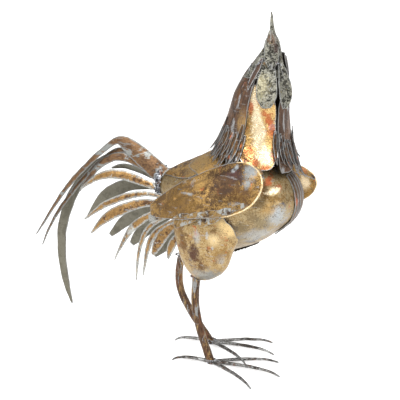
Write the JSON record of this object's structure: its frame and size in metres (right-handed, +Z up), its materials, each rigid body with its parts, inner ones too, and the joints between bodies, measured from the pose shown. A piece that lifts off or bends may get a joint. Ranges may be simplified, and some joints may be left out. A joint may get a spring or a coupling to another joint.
{
  "type": "rooster sculpture",
  "caption": "Standing sculpture of a crowing rooster, welded from bent sheet metal, with a raised head, dished wings and a fanned sickle tail.",
  "frame": {"origin": "middle of the bounding box, on the floor that the feet stand on", "axes": "+X the way the bird's body faces, +Y its left side, +Z up"},
  "size_m": [0.5254, 0.2316, 0.602],
  "materials": {
    "gilt_patina": "gold leaf worn through to brown and copper patina",
    "rusty_brown": "dark brown patina with silver edges",
    "silver_wash": "silver-grey worn steel with gold flecks",
    "bare_back": "plain olive-grey back of the sheet",
    "weld_metal": "lumpy weld"
  },
  "bodies": {
    "root": {"back_plate_front_left": "gilt_patina", "back_plate_front_right": "gilt_patina", "back_plate_rear_left": "gilt_patina", "back_plate_rear_right": "gilt_patina", "breast_strip_1": "rusty_brown", "breast_strip_2": "rusty_brown", "breast_strip_3": "rusty_brown", "breast_strip_4": "rusty_brown", "breast_strip_5": "rusty_brown", "comb": "silver_wash", "ear_lobe_left": "rusty_brown", "ear_lobe_right": "rusty_brown", "fluff_right_1": "gilt_patina", "fluff_right_2": "gilt_patina", "hackle_cape_left": "rusty_brown", "hackle_cape_right": "rusty_brown", "leg_left": "rusty_brown", "leg_right": "rusty_brown", "lower_beak": "silver_wash", "sickle_left_1": "bare_back", "sickle_left_2": "bare_back", "sickle_right_1": "gilt_patina", "sickle_right_2": "gilt_patina", "sickle_right_3": "gilt_patina", "skull": "silver_wash", "tail_left_1": "bare_back", "tail_left_2": "bare_back", "tail_left_3": "bare_back", "tail_left_4": "bare_back", "tail_right_1": "gilt_patina", "tail_right_2": "gilt_patina", "tail_right_3": "gilt_patina", "tail_right_4": "gilt_patina", "tail_right_5": "gilt_patina", "tail_right_6": "gilt_patina", "tail_weld": "weld_metal", "thigh_left": "gilt_patina", "thigh_right": "gilt_patina", "throat_plate_left": "rusty_brown", "throat_plate_right": "gilt_patina", "toe_back_left": "silver_wash", "toe_back_right": "silver_wash", "toe_inner_left": "silver_wash", "toe_inner_right": "silver_wash", "toe_middle_left": "silver_wash", "toe_middle_right": "silver_wash", "toe_outer_left": "silver_wash", "toe_outer_right": "silver_wash", "torso": "gilt_patina", "upper_beak": "silver_wash", "wattle_left": "silver_wash", "wattle_right": "silver_wash", "wing_feather_front_left": "silver_wash", "wing_feather_front_right": "silver_wash", "wing_feather_middle_left": "silver_wash", "wing_feather_middle_right": "silver_wash", "wing_feather_rear_left": "silver_wash", "wing_feather_rear_right": "silver_wash", "wing_plate_left": "gilt_patina", "wing_plate_right": "gilt_patina"}
  },
  "joints": []
}
